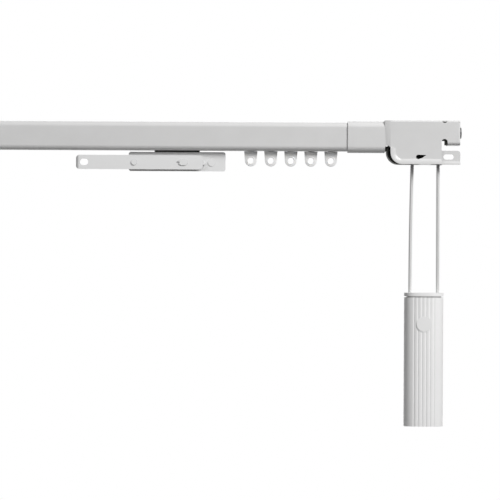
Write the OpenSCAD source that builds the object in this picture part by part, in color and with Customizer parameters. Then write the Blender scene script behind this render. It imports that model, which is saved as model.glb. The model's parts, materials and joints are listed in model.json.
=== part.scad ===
// Extendable corded curtain track with two-way draw, shown pushed fully together.
// Right is +X, the wall is the plane Y = 0 and the front faces -Y, up is +Z.
// The origin is the centre of the right wall bracket's two screw holes, on the wall.
// Z = 0 is also the middle of the track's height.

/* [Track] */
// Length over both end cases when pushed together
span = 1219; // [1150:1:1400]
// Height of the outer tube
track_h = 25.4; // [24.8:0.1:26.4]
// Depth of the outer tube, front to back
track_d = 17; // [16.6:0.1:18.4]
// Sheet thickness of both tubes
track_sheet = 0.6; // [0.5:0.05:0.7]
// Outside corner radius of the outer tube
track_corner = 4.5; // [4:0.1:4.8]
// Gap between nested tubes, and between a tube and its sleeve
nest_gap = 0.3; // [0.25:0.05:0.4]
// Width of the slot that the slides hang through
slot_w = 6.5; // [6:0.1:7]

/* [End cases] */
// Distance from the wall to the front of the end cases, bracket fully in
projection = 88; // [86:1:96]
// Sheet thickness of the end cases
case_sheet = 0.9; // [0.8:0.05:1]
// Width of the case face
case_w = 45.3; // [45:0.1:50]
// Height of the case above the track's middle
case_rise = 14.8; // [14.4:0.1:16]
// Height of the case below the track's middle
case_drop = 24; // [23:0.1:26]
// Depth of the case, front to back
case_depth = 30; // [29:0.5:34]
// Radius of the case's lower inner corner
case_corner = 10.4; // [9.8:0.1:12]
// Width of the lip flared forward along the case's lower edge
lip_w = 4.9; // [4:0.1:5.2]
// How far that lip stands in front of the case's face
lip_out = 1.2; // [0.8:0.1:1.5]
// Length of the slanted step between the sleeve and the case
step_w = 4.8; // [3.5:0.1:6]
// Length of the sleeve that grips the tube
sleeve_w = 32.9; // [25:0.1:38]
// How far the case's face stands in front of the outer tube's sleeve
step_out = 2; // [1:0.1:2.5]
// Width of the strip that joins the case to the return
strip_w = 5.3; // [5:0.1:6.5]
// Width of the return, the channel that takes the wall bracket's arm
return_w = 11.2; // [11:0.1:13]
// Depth of the return channel
return_depth = 25; // [23:0.5:28]
// Height of the return below the track's middle
return_drop = 7; // [5:0.1:8]
// Thickness of the frame that closes the back of the case
frame_sheet = 1.2; // [1:0.1:1.5]
// Lowest edge of the frame's ear below the track's middle
ear_drop = 24.3; // [24:0.1:26]
// Height of the frame's ear
ear_h = 12.5; // [11:0.1:13]
// How far the ear lies behind the case's face
ear_back = 3.8; // [3:0.1:6]
// Length of the slot in the ear
ear_slot_w = 9.2; // [7:0.1:10]
// Height of the slot in the ear
ear_slot_h = 4.6; // [4.5:0.1:5]
// Wall of the dark moulded pulley cage
cage_wall = 1.6; // [1.2:0.1:1.8]
// How far the cage shows beyond the case's inner side
cage_out = 3.1; // [2.5:0.1:3.4]

/* [Wall brackets] */
// Width of the wall plate
plate_w = 40; // [36:1:44]
// Height of the wall plate
plate_h = 36; // [32:1:40]
// Thickness of the wall plate and of both arms
plate_t = 2; // [1.5:0.1:2.2]
// Distance between the two wall screw holes
wall_hole_pitch = 24; // [20:0.5:28]
// Radius of a wall screw hole
wall_hole_r = 2.4; // [2:0.1:3]
// Bottom edge of the arm from the track's middle
arm_low = -1; // [-2:0.1:0]
// Height of the arms
arm_h = 12; // [10:0.1:12.8]
// How far the bracket lets the track move away from the wall
projection_travel = 30; // [20:1:30]
// Distance of the clamp screw behind the case's face
clamp_back = 13; // [12:0.5:15]
// Height of both bracket screws above the track's middle
screw_z = 4.1; // [3.8:0.1:5]
// Distance of the projection screw from the wall
projection_screw_y = 44; // [43:0.5:46]

/* [Screws] */
// Shank radius of the bracket screws
screw_r = 2.4; // [2:0.1:2.5]
// Head radius of the bracket screws
screw_head_r = 4.9; // [4.2:0.1:5.2]
// Head height of the bracket screws
screw_head_h = 2; // [1.8:0.1:3]
// Side of the square nuts
nut_side = 8; // [7:0.1:8.6]
// Thickness of the square nuts
nut_t = 3.2; // [2.8:0.1:3.4]

/* [Cord and pulleys] */
// Diameter of the braided cord
cord_d = 3.2; // [2.8:0.1:3.2]
// Height of the upper run of cord in the track
upper_run_z = 8; // [7.8:0.1:8.2]
// Height of the lower run of cord in the track
lower_run_z = -4; // [-4.2:0.1:-3.8]
// Distance of the left hanging cord from the end of the track
left_exit = 42; // [41.5:0.1:43]
// Distance of the right hanging cord from the end of the track
right_exit = 19; // [19:0.1:20]
// Distance the cord weight hangs left of the middle of its two cords
weight_shift = 0.6; // [0:0.1:1]
// Pitch radius of the two pulleys in the right case
pulley_r = 7; // [6.6:0.1:7.2]
// How far a pulley's rim stands outside its pitch radius
rim_out = 1.3; // [1:0.1:1.4]
// Width of every pulley
pulley_w = 6; // [5.4:0.1:6.4]
// Radius of the pulley axles in the cases
axle_r = 1.5; // [1.2:0.1:1.8]
// Distance of the idler pulley from the left end
idler_in = 40; // [36:0.5:44]

/* [Slides] */
// Distance between parked slides
slide_pitch = 17.8; // [15:0.1:20]
// Distance of the first slide from the end of the track
first_slide = 114.3; // [108:0.1:120]
// Width of a slide's eye plate at the top
slide_top_w = 11.8; // [11:0.1:13]
// Width of a slide's eye plate at the eye
slide_eye_w = 10.4; // [9:0.1:11]
// Height of the eye below the track's middle
eye_drop = 21.2; // [19:0.1:23]
// Radius of the eye
eye_r = 2.6; // [2.2:0.1:3]
// Thickness of the eye plate
eye_t = 2.6; // [2:0.1:3.4]

/* [Master slides] */
// Distance of the master slide's neck from the end of the track
master_in = 251; // [235:0.5:270]
// Length of the neck and of the block in the tube
neck_w = 40; // [32:0.5:48]
// Left end of the back plate from the neck's middle
plate_left = 43; // [38:0.1:50]
// Right end of the back plate from the neck's middle
plate_right = 43; // [38:0.1:50]
// Top of the back plate below the track's middle
plate_drop = 14; // [13.8:0.1:15]
// Height of the back plate
master_plate_h = 17.1; // [15:0.1:18]
// Thickness of the back plate and of the long arm
master_t = 1.2; // [1:0.1:1.3]
// Far end of the long arm from the neck's middle
arm_reach = 89.7; // [80:0.1:95]
// Near end of the long arm from the neck's middle
arm_tail = 23; // [18:0.1:30]
// Height of the long arm
long_arm_h = 12.6; // [11:0.1:13]
// Distance between the front arm and the back plate
arm_gap = 5; // [4.6:0.1:5.2]

/* [Cord weight] */
// Half the width of the cord weight
weight_a = 17.4; // [17:0.1:18.5]
// How far its front bulges from the cords' plane
weight_front = 12; // [11.5:0.1:14]
// How far its back lies behind the cords' plane
weight_back = 9.5; // [9.2:0.1:11]
// Top of the cord weight below the track's middle
weight_top = 138; // [130:1:180]
// Height of the cord weight
weight_h = 118.5; // [112:0.5:125]
// Wall of its covers
weight_wall = 1.8; // [1.5:0.1:1.9]
// Thickness of its cap
cap_t = 3.1; // [2.5:0.1:4]
// Distance between flutes on the front
flute_pitch = 3.55; // [3:0.05:4]
// Depth of a flute
flute_depth = 0.35; // [0.2:0.05:0.5]
// Pitch radius of the pulley in the weight
weight_pulley_r = 12.3; // [12:0.1:12.5]
// Distance of that pulley's axle below the top
axle_below_top = 27.8; // [26:0.1:30]
// Radius of the round boss on the axle's front end
boss_r = 6.8; // [6:0.1:7.5]

/* [Hidden] */
$fn = 64;

enamel = [0.93, 0.93, 0.92];
zinc = [0.68, 0.7, 0.72];
nylon = [0.9, 0.9, 0.88];
dark_plastic = [0.2, 0.2, 0.18];
braid = [0.88, 0.88, 0.86];

// Small clearances
slip = 0.3;          // between pieces that slide or sit loosely
turn = 0.1;          // round a turning shaft
overrun = 1;         // how far a cut runs past a face
lap = 0.3;           // how far joined sheets run into each other
fit = 0.05;          // between a rivet or screw and its hole
joint = 0.1;         // how far solid blocks of one piece run into each other

// Planes, front to back
face_y = -projection;
track_front_y = face_y + step_out + case_sheet + nest_gap;
mid_y = track_front_y + track_d / 2;
frame_y = face_y + case_depth - frame_sheet;
ear_y = face_y + ear_back;

// Heights
case_top = case_rise;
case_bottom = -case_drop;
outer_floor = -track_h / 2;
outer_shrink = track_sheet + nest_gap;
inner_half_h = track_h / 2 - outer_shrink - track_sheet;
inner_half_d = track_d / 2 - outer_shrink - track_sheet;
inner_corner = track_corner - outer_shrink - track_sheet;

// Places along the track, measured from an end's outer wall towards the middle
wall_plate_in = 32;
end_x = wall_plate_in;
return_left = -return_w;
case_right = return_left - strip_w;
case_left = case_right - case_w;
sleeve_end = case_left - step_w;
sleeve_start = sleeve_end - sleeve_w;
tube_end = sleeve_end - 1.1;
mouth_gap = 2;
inner_tube_end = tube_end - mouth_gap;

// Cord and pulleys
cord_r = cord_d / 2;
groove_r = cord_r + 0.2;
lower_pulley_x = -left_exit - pulley_r;
lower_pulley_z = lower_run_z - pulley_r;
upper_pulley_x = -right_exit - pulley_r;
upper_pulley_z = upper_run_z - pulley_r;
idler_r = (upper_run_z - lower_run_z) / 2;
idler_z = (upper_run_z + lower_run_z) / 2;
web_t = 2;
web_gap = 0.5;
exit_hole_r = cord_r + 0.4;
pivot_z = case_bottom;
exit_mid = (left_exit + right_exit) / 2;
strap_w = 10;
strap_x = -exit_mid - strap_w / 2;
web_x = case_right + 0.2;
weight_x = end_x - exit_mid - weight_shift;

// Wall bracket
arm_out_x = -case_sheet - slip;
arm_in_x = arm_out_x - plate_t;
base_out_x = arm_in_x - slip;
base_in_x = base_out_x - plate_t;
clamp_y = face_y + clamp_back;
bolt_gap = 0.3;

// Slides
slide_floor = -inner_half_h + 0.2;
head_h = 2.4;
head_half_d = slot_w / 2 + 1.35;
neck_half_d = slot_w / 2 - 1.05;
head_w = 11;
tab_top = outer_floor - slip;

// Master slides
block_half_d = inner_half_d - 1.4;
block_top = inner_half_h - 0.7;
long_arm_z = -(plate_drop + master_plate_h / 2 + 0.8);
plate_front = mid_y - master_t;
front_arm_y = plate_front - arm_gap - master_t;
rear_arm_gap = 1.6;
rear_arm_y = plate_front + master_t + rear_arm_gap;
rivet_r = 1.6;
rivet_head_r = 2.5;
rivet_head_h = 0.7;
rivet_tail_h = 0.5;
flush_rivet = 5;
neck_rivet_r = 1.2;
neck_rivet_y = mid_y + 0.6;
cord_bore_r = cord_r + 0.5;
arm_rivets = [-38.1, 5.4];
stud_w = 7.9;
stud_h = 5.2;
eyelet_x = 0.8;
eyelet_r = 1.1;
post_in = 0.2;
dimple_x = 30.6;
dimple_r = 3.2;
rear_arm_h = long_arm_h - 1;
ferrule_r = 2.6;
ferrule_w = 5;

// Cord weight
cap_groove = 1;
weight_z = -weight_top;
weight_floor_z = weight_z - weight_h;
weight_axle_z = weight_z - axle_below_top;
cover_top_z = weight_z - cap_t - cap_groove;
weight_pulley_rim = weight_pulley_r + cord_r + slip;
ballast_a = weight_a - 4.9;
post_x = weight_a - 5.9;
post_r = 2.6;
upper_post_z = weight_axle_z - weight_pulley_rim - 4.3;
lower_post_z = weight_floor_z + weight_wall + post_r + 1.2;
weight_axle_r = 2;
seam = 0.02;

// The two hanging cords, each from the case down to the weight
cord_drop_steps = [0, 8, 20, 34, 48, 62, 76, 90, 102, 110];

// Puts a shape at the right end, or at the left end as its mirror image
module at_right() { translate([end_x, 0, 0]) children(); }
module at_left() { translate([end_x - span, 0, 0]) mirror([1, 0, 0]) children(); }

// Extrudes an outline drawn in Y and Z along X, or one drawn in X and Z along Y
module along_x(x, length) {
    translate([x, 0, 0]) rotate([90, 0, 90]) linear_extrude(length) children();
}
module along_y(y, length) {
    translate([0, y + length, 0]) rotate([90, 0, 0]) linear_extrude(length) children();
}
module rod_y(x, y, z, r, length) { along_y(y, length) translate([x, z]) circle(r); }
module rod_x(x, y, z, r, length) { along_x(x, length) translate([y, z]) circle(r); }
module block(x0, x1, y0, y1, z0, z1) {
    translate([x0, y0, z0]) cube([x1 - x0, y1 - y0, z1 - z0]);
}
module round_rect(w, h, r) {
    square([w, h - 2 * r], center = true);
    square([w - 2 * r, h], center = true);
    for (x = [-1, 1], y = [-1, 1])
        translate([x * (w / 2 - r), y * (h / 2 - r)]) circle(r);
}
module slotted(w, h) {
    square([w - h, h], center = true);
    for (x = [-1, 1]) translate([x * (w - h) / 2, 0]) circle(h / 2);
}

// Tube cross-section in Y and Z; grow is how far it stands outside the outer tube
module tube_section(grow, wall, opening) {
    translate([mid_y, 0]) difference() {
        round_rect(track_d + 2 * grow, track_h + 2 * grow, track_corner + grow);
        round_rect(track_d + 2 * (grow - wall), track_h + 2 * (grow - wall),
            track_corner + grow - wall);
        translate([-opening / 2, -track_h]) square([opening, track_h]);
    }
}
module outer_track() {
    color(enamel)
        along_x(end_x - span - sleeve_start + mouth_gap,
            span + sleeve_start + tube_end - mouth_gap)
            tube_section(0, track_sheet, slot_w);
}
module inner_track() {
    color(enamel)
        along_x(end_x - span - tube_end, span + tube_end + inner_tube_end)
            tube_section(-outer_shrink, track_sheet, slot_w);
}

// Section of a rolled edge: outward to the right, depth upwards
module lip_section(r, wall, flange) {
    translate([-lap, 0]) square([lap, wall]);
    translate([0, r]) intersection() {
        difference() { circle(r); circle(r - wall); }
        translate([0, -r]) square(r);
    }
    if (flange > r) translate([r - wall, r]) square([wall, flange - r]);
}
// Section of an edge that flares forward by out over the width w, drawn the same way
module flare_section(w, out, wall, flange) {
    flare_r = (w * w + out * out) / (2 * out);
    translate([-lap, 0]) square([lap + joint, wall]);
    translate([w, flare_r - out]) intersection() {
        difference() { circle(flare_r, $fn = 4 * $fn); circle(flare_r - wall, $fn = 4 * $fn); }
        translate([-w, -flare_r]) square([w, out + 2 * wall]);
    }
    translate([w - wall, wall / 2 - out]) square([wall, flange + out - wall / 2]);
}
lip_flange = 2.5;
cage_front = lip_flange + slip;
top_lip_r = 1.5;
return_lip_r = 2.7;
side_lip_r = 1.2;
side_extra = 10;
cage_corner_more = 0.6;
notch_r = step_w / 2 + 0.05;
notch_z = -10.1;
top_notch_r = 2.6;
top_notch_up = 0.5;
top_notch_d = 3.6;
arch_r = strip_w / 2;
arch_z = -4.2;

// Case outline in X and Z; low sets how far it is drawn in at the lower edges
module case_outline(low, top, right) {
    r = case_corner - low;
    x0 = case_left + low;
    z0 = case_bottom + low;
    translate([x0 + r, z0]) square([right - x0 - r, top - z0]);
    translate([x0, z0 + r]) square([right - x0, top - z0 - r]);
    translate([x0 + r, z0 + r]) circle(r);
}
// Teardrop slot near the case's lower edge
module teardrop() {
    slot_z = -17.6;
    slot_x = (case_left + case_right) / 2 + 2;
    nose_r = 1.95;
    translate([slot_x, slot_z]) {
        circle(nose_r);
        polygon([[0, nose_r], [7.1, nose_r - 0.2], [3.6, -0.8], [0.3, -nose_r]]);
    }
}
module shell_face() {
    flat_top = case_top - top_lip_r;
    along_y(face_y, case_sheet) difference() {
        union() {
            case_outline(lip_w, flat_top, case_right);
            translate([case_left, notch_z]) square([lip_w + overrun, flat_top - notch_z]);
            translate([case_right - overrun, arch_z])
                square([strip_w + 2 * overrun, flat_top - arch_z]);
            translate([return_left, return_lip_r - return_drop])
                square([return_w - side_lip_r, flat_top + return_drop - return_lip_r]);
        }
        translate([case_left - step_w / 2, notch_z]) circle(notch_r);
    }
}
module shell_lips() {
    corner_x = case_left + case_corner;
    corner_z = case_bottom + case_corner;
    flange = case_depth - frame_sheet - slip;
    // flared lip along the bottom, round the corner and up to the notch
    along_x(corner_x, case_right - corner_x)
        translate([face_y, case_bottom + lip_w]) rotate(-90)
            flare_section(lip_w, lip_out, case_sheet, lip_flange);
    translate([corner_x, face_y, corner_z]) rotate([-90, 0, 0]) rotate([0, 0, 90])
        rotate_extrude(angle = 90) translate([case_corner - lip_w, 0])
            flare_section(lip_w, lip_out, case_sheet, lip_flange);
    translate([case_left + lip_w, face_y, corner_z])
        linear_extrude(notch_z - corner_z + joint)
            mirror([1, 0]) flare_section(lip_w, lip_out, case_sheet, lip_flange);
    // top edge over the case, and over the strip and the return
    along_x(case_left, case_w)
        translate([face_y, case_top - top_lip_r]) mirror([0, 1]) rotate(-90)
            lip_section(top_lip_r, case_sheet, flange);
    along_x(case_right - overrun, -case_right + overrun)
        translate([face_y, case_top - top_lip_r]) mirror([0, 1]) rotate(-90)
            lip_section(top_lip_r, case_sheet, return_depth);
}
module shell_return() {
    inner_wall_h = 2;
    // underside, outer side wall and the short inner side wall
    along_x(return_left, return_w)
        translate([face_y, return_lip_r - return_drop]) rotate(-90)
            lip_section(return_lip_r, case_sheet, return_depth);
    translate([-side_lip_r, face_y, return_lip_r - return_drop])
        linear_extrude(case_top - return_lip_r + return_drop - lap)
            lip_section(side_lip_r, case_sheet, return_depth + side_extra);
    block(-case_sheet, 0, face_y + return_lip_r, face_y + return_depth,
        -return_drop, return_lip_r - return_drop + joint);
    block(return_left, return_left + case_sheet, face_y + return_lip_r,
        face_y + return_depth, -return_drop, arch_z + inner_wall_h);
    block(return_left, return_left + case_sheet, face_y, face_y + return_lip_r + joint,
        return_lip_r - return_drop, arch_z + inner_wall_h);
}
module shell_tabs() {
    tab_back = face_y + case_depth + slip;
    tab_in = 5;
    tab_w = 8;
    for (x = [case_left + tab_w, case_right - 2 * tab_w]) {
        block(x, x + tab_w, frame_y - overrun, tab_back + case_sheet,
            case_top - case_sheet, case_top);
        block(x, x + tab_w, tab_back, tab_back + case_sheet, case_top - tab_in, case_top);
    }
    block(strap_x, strap_x + strap_w, face_y + cage_front - overrun, tab_back + case_sheet,
        case_bottom, case_bottom + case_sheet);
    block(strap_x, strap_x + strap_w, tab_back, tab_back + case_sheet,
        case_bottom, case_bottom + tab_in);
}
// shrink is 0 for the outer tube and outer_shrink for the inner one
module shell_sleeve(shrink) {
    grow = nest_gap + case_sheet - shrink;
    sleeve_y = track_front_y - grow;
    sleeve_opening = slot_w + 3;
    along_x(sleeve_start, sleeve_w) tube_section(grow, case_sheet, sleeve_opening);
    shell_slant(sleeve_y);
    // shoulder that closes the step round the sleeve's upper front corner
    along_x(sleeve_end - lap, case_sheet + lap) difference() {
        union() {
            shoulder_z = track_h / 2 - track_corner;
            translate([sleeve_y, shoulder_z])
                square([mid_y - sleeve_y, case_top - top_lip_r - shoulder_z]);
            translate([sleeve_y + top_lip_r, shoulder_z])
                square([mid_y - sleeve_y - top_lip_r, case_top - joint - shoulder_z]);
        }
        translate([mid_y, 0])
            round_rect(track_d + 2 * (grow - case_sheet), track_h + 2 * (grow - case_sheet),
                track_corner + grow - case_sheet);
    }
}
// Slanted step from the sleeve out to the case's face, closed at the top
module shell_slant(sleeve_y) {
    slant_out = sleeve_y - face_y;
    top_z = case_top - joint;
    rolled_z = case_top - top_lip_r;
    slant = [
        [sleeve_end, sleeve_y], [case_left, face_y],
        [case_left, face_y + case_sheet], [sleeve_end, sleeve_y + case_sheet]
    ];
    difference() {
        union() {
            translate([0, 0, notch_z]) linear_extrude(top_z - notch_z) polygon(slant);
            block(sleeve_end - lap, sleeve_end + lap, sleeve_y + joint, sleeve_y + case_sheet,
                notch_z, track_h / 2 - track_corner);
            block(case_left - lap, case_left + lap, face_y + 2 * joint, face_y + case_sheet,
                notch_z, rolled_z);
        }
        rod_y(case_left - step_w / 2, face_y - overrun, notch_z, notch_r,
            slant_out + 2 * overrun + case_sheet);
    }
    translate([0, 0, case_top - case_sheet]) linear_extrude(case_sheet - joint)
        polygon([
            [sleeve_end + joint, sleeve_y + 2 * joint], [case_left, face_y + 2 * joint],
            [case_left, face_y + top_lip_r], [case_left + lap, face_y + top_lip_r],
            [case_left + lap, frame_y - slip], [sleeve_end + joint, frame_y - slip]
        ]);
}
module end_shell(shrink) {
    color(enamel) difference() {
        union() {
            shell_face();
            shell_lips();
            shell_return();
            shell_tabs();
            shell_sleeve(shrink);
        }
        rod_x(-2 * case_sheet, clamp_y, screw_z, screw_r + bolt_gap, 3 * case_sheet);
        rod_y(case_right + strip_w / 2, face_y - overrun, case_top + top_notch_up,
            top_notch_r, top_notch_d);
        rod_y(case_right + strip_w / 2, face_y - overrun, arch_z, arch_r,
            case_sheet + 2 * overrun);
        along_y(face_y - lip_out - overrun, case_sheet + lip_out + 2 * overrun) teardrop();
    }
}
module end_shell_right() { at_right() end_shell(0); }
module end_shell_left() { at_left() end_shell(outer_shrink); }

// Cage outline in X and Z: it shows beyond the case at the lower corner
module cage_outline(inset, top, right) {
    out = cage_out - inset;
    r = case_corner + cage_corner_more - inset;
    corner_x = case_left - out + r;
    corner_z = case_bottom + inset + r;
    translate([corner_x, case_bottom + inset])
        square([right - corner_x, top - case_bottom - inset]);
    translate([case_left + inset, corner_z]) square([right - case_left - inset, top - corner_z]);
    translate([corner_x, corner_z]) circle(r);
}
// Dark cage that carries the pulleys; axles lists their places, exits the cord holes
module pulley_cage(axles, exits) {
    right = web_x - slip;
    top = case_top - case_sheet - slip;
    step_y = face_y + cage_front;
    web_front = mid_y - pulley_w / 2 - web_gap - web_t;
    web_back = mid_y + pulley_w / 2 + web_gap;
    room = case_depth;
    tail_y = face_y + case_sheet + slip;
    tail_right = return_left - slip;
    tongue_w = 2.2;
    tail_low = arch_z + 1;
    notch_block_y = track_front_y + case_sheet;
    cord_room_d = 4.5;
    cord_room_h = 3.5;
    exit_depth = 6;
    color(dark_plastic) difference() {
        union() {
            difference() {
                along_y(step_y, frame_y - step_y - slip) cage_outline(0, top, right);
                along_y(face_y, room) cage_outline(cage_wall, top - cage_wall,
                    right + overrun);
            }
            for (y = [web_front, web_back])
                along_y(y, web_t) cage_outline(cage_wall / 2, top - cage_wall / 2, right);
            // block behind the notch, and the tail behind the strip and its arch
            block(sleeve_end + slip, case_left + cage_wall, notch_block_y,
                frame_y - 2 * cage_wall, notch_z - notch_r,
                lower_run_z - cord_room_h - cage_wall / 2);
            block(right - 2 * cage_wall, tail_right, tail_y, web_front + web_t,
                tail_low, top);
            block(tail_right - tongue_w, tail_right, tail_y, web_front + web_t,
                -return_drop, tail_low + lap);
        }
        // room for the cords on their way in from the tube
        block(sleeve_end, case_left + 3 * cage_wall, mid_y - cord_room_d, mid_y + cord_room_d,
            lower_run_z - cord_room_h, upper_run_z + cord_room_h);
        for (a = axles) rod_y(a[0], face_y, a[1], axle_r + turn / 2, room);
        for (x = exits) translate([-x, mid_y, case_bottom - overrun])
            cylinder(r = exit_hole_r, h = exit_depth);
        block(strap_x - slip, strap_x + strap_w + slip, step_y - overrun, frame_y,
            case_bottom - overrun, case_bottom + case_sheet + slip);
    }
}
right_axles = [[lower_pulley_x, lower_pulley_z], [upper_pulley_x, upper_pulley_z]];
left_axles = [[-idler_in, idler_z]];
module pulley_cage_right() { at_right() pulley_cage(right_axles, [left_exit, right_exit]); }
module pulley_cage_left() { at_left() pulley_cage(left_axles, []); }

// Back plate, side web and slotted ear, bent from one sheet
module end_frame(axles) {
    ear_top = ear_h - ear_drop;
    ear_corner = 2.7;
    ear_lip_w = 3.2;
    ear_lip_out = 0.8;
    ear_right = 0.3;
    slot_in = 1.8;
    slot_up = 0.7;
    ear_flange = 2.5;
    color(enamel) difference() {
        union() {
            along_y(frame_y, frame_sheet) case_outline(0, case_top - case_sheet - slip, web_x);
            block(web_x, web_x + frame_sheet, ear_y, frame_y + frame_sheet, -ear_drop, ear_top);
            along_y(ear_y, frame_sheet) {
                translate([web_x, ear_lip_w - ear_drop])
                    square([ear_right - web_x, ear_h - ear_lip_w - ear_corner]);
                translate([web_x, ear_top - ear_corner])
                    square([ear_right - web_x - ear_corner, ear_corner]);
                translate([ear_right - ear_corner, ear_top - ear_corner]) circle(ear_corner);
            }
            along_x(web_x, ear_right - web_x)
                translate([ear_y, ear_lip_w - ear_drop]) rotate(-90)
                    flare_section(ear_lip_w, ear_lip_out, frame_sheet, ear_flange);
        }
        along_y(ear_y - overrun, frame_sheet + 2 * overrun)
            translate([case_right + ear_slot_w / 2 + slot_in, ear_top - ear_h / 2 + slot_up])
                slotted(ear_slot_w, ear_slot_h);
        block(strap_x - slip, strap_x + strap_w + slip, frame_y - overrun,
            frame_y + frame_sheet + overrun, case_bottom - overrun,
            case_bottom + case_sheet + slip);
        for (a = axles)
            rod_y(a[0], frame_y - overrun, a[1], axle_r + turn / 2, frame_sheet + 2 * overrun);
    }
}
module end_frame_right() { at_right() end_frame(right_axles); }
module end_frame_left() { at_left() end_frame(left_axles); }

// Pin through both cage webs and the frame, with a riveted head behind
module pulley_axle(x, z) {
    start = mid_y - pulley_w / 2 - web_gap - web_t;
    axle_head_h = 0.8;
    rod_y(x, start, z, axle_r, frame_y + frame_sheet - start);
    rod_y(x, frame_y + frame_sheet, z, axle_r + 1, axle_head_h);
}
module pulley_axles_right() {
    color(zinc) at_right() for (a = right_axles) pulley_axle(a[0], a[1]);
}
module idler_axle() { color(zinc) at_left() for (a = left_axles) pulley_axle(a[0], a[1]); }

// Grooved wheel on an axle along Y
module pulley(pitch, rim, bore) {
    rotate([90, 0, 0]) rotate_extrude() difference() {
        translate([bore, -pulley_w / 2]) square([rim - bore, pulley_w]);
        translate([pitch, 0]) circle(groove_r);
        translate([pitch, -groove_r]) square([rim, 2 * groove_r]);
    }
}
module case_pulley(x, z, pitch) {
    color(nylon) translate([x, mid_y, z]) pulley(pitch, pitch + rim_out, axle_r + turn);
}
module pulley_lower_run() { at_right() case_pulley(lower_pulley_x, lower_pulley_z, pulley_r); }
module pulley_upper_run() { at_right() case_pulley(upper_pulley_x, upper_pulley_z, pulley_r); }
module idler_pulley() { at_left() case_pulley(-idler_in, idler_z, idler_r); }

// Part of a cord wrapped round a wheel on an axle along Y; 0 degrees is +X, 90 is +Z
module cord_wrap(x, z, pitch, from, sweep) {
    translate([x, mid_y, z]) rotate([90, 0, 0]) rotate([0, 0, from])
        rotate_extrude(angle = sweep) translate([pitch, 0]) circle(cord_r);
}
module track_cord() {
    idler_x = end_x - span + idler_in;
    drop_end = pivot_z + cord_r + slip;
    x1 = end_x + lower_pulley_x;
    x2 = end_x + upper_pulley_x;
    color(braid) {
        rod_x(idler_x, mid_y, lower_run_z, cord_r, x1 - idler_x);
        rod_x(idler_x, mid_y, upper_run_z, cord_r, x2 - idler_x);
        cord_wrap(idler_x, idler_z, idler_r, 90, 180);
        cord_wrap(x1, lower_pulley_z, pulley_r, 0, 90);
        cord_wrap(x2, upper_pulley_z, pulley_r, 0, 90);
        translate([end_x - left_exit, mid_y, drop_end])
            cylinder(r = cord_r, h = lower_pulley_z - drop_end);
        translate([end_x - right_exit, mid_y, drop_end])
            cylinder(r = cord_r, h = upper_pulley_z - drop_end);
    }
}

// Nylon slide: head on the tube's lips, neck through the slot, eye plate below
module slide(x) {
    neck_half = 3;
    color(nylon) translate([x, mid_y, 0]) {
        block(-head_w / 2, head_w / 2, -head_half_d, head_half_d, slide_floor,
            slide_floor + head_h);
        block(-neck_half, neck_half, -neck_half_d, neck_half_d, tab_top - overrun,
            slide_floor + joint);
        along_y(-eye_t / 2, eye_t) difference() {
            union() {
                polygon([
                    [-slide_top_w / 2, tab_top], [slide_top_w / 2, tab_top],
                    [slide_eye_w / 2, -eye_drop], [-slide_eye_w / 2, -eye_drop]
                ]);
                translate([0, -eye_drop]) circle(slide_eye_w / 2);
            }
            translate([0, -eye_drop]) circle(eye_r);
        }
    }
}
module slide_at(k) { slide(-first_slide - slide_pitch * (k - 1)); }

// Dark moulded block that runs in the tube, with its neck down through the slot
module master_block() {
    foot_h = 2;
    color(dark_plastic) translate([-master_in, 0, 0]) difference() {
        translate([0, mid_y, 0]) {
            block(-neck_w / 2, neck_w / 2, -block_half_d, block_half_d,
                slide_floor + foot_h, block_top);
            block(-neck_w / 2, neck_w / 2, -head_half_d, head_half_d,
                slide_floor, slide_floor + foot_h + joint);
            block(-neck_w / 2, neck_w / 2, -neck_half_d, neck_half_d,
                -plate_drop, slide_floor + joint);
        }
        for (z = [upper_run_z, lower_run_z])
            rod_x(-neck_w, mid_y, z, cord_bore_r, 2 * neck_w);
        for (x = [-1, 1]) translate([x * neck_w / 3, neck_rivet_y, -plate_drop - overrun])
            cylinder(r = neck_rivet_r, h = flush_rivet - master_t + 2 * slip + overrun);
    }
}
// Upright plate with a flange bent back under the neck
module master_plate() {
    bottom = -plate_drop - master_plate_h;
    mid_z = -plate_drop - master_plate_h / 2;
    corner = 2;
    dimple_rise = 0.4;
    flange_back = mid_y + neck_half_d + 0.6;
    color(enamel) translate([-master_in, 0, 0]) difference() {
        union() {
            along_y(plate_front, master_t)
                translate([(plate_right - plate_left) / 2, mid_z])
                    round_rect(plate_left + plate_right, master_plate_h, corner);
            rod_y(dimple_x, plate_front - dimple_rise, long_arm_z, dimple_r,
                dimple_rise + joint);
            block(-neck_w / 2, neck_w / 2, plate_front, flange_back,
                -plate_drop - master_t, -plate_drop);
        }
        for (x = arm_rivets)
            rod_y(x, plate_front - overrun, long_arm_z, rivet_r, master_t + 2 * overrun);
        for (x = [-1, 1]) translate([x * neck_w / 3, neck_rivet_y, -plate_drop - 2 * overrun])
            cylinder(r = neck_rivet_r, h = 3 * overrun);
    }
}
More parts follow.
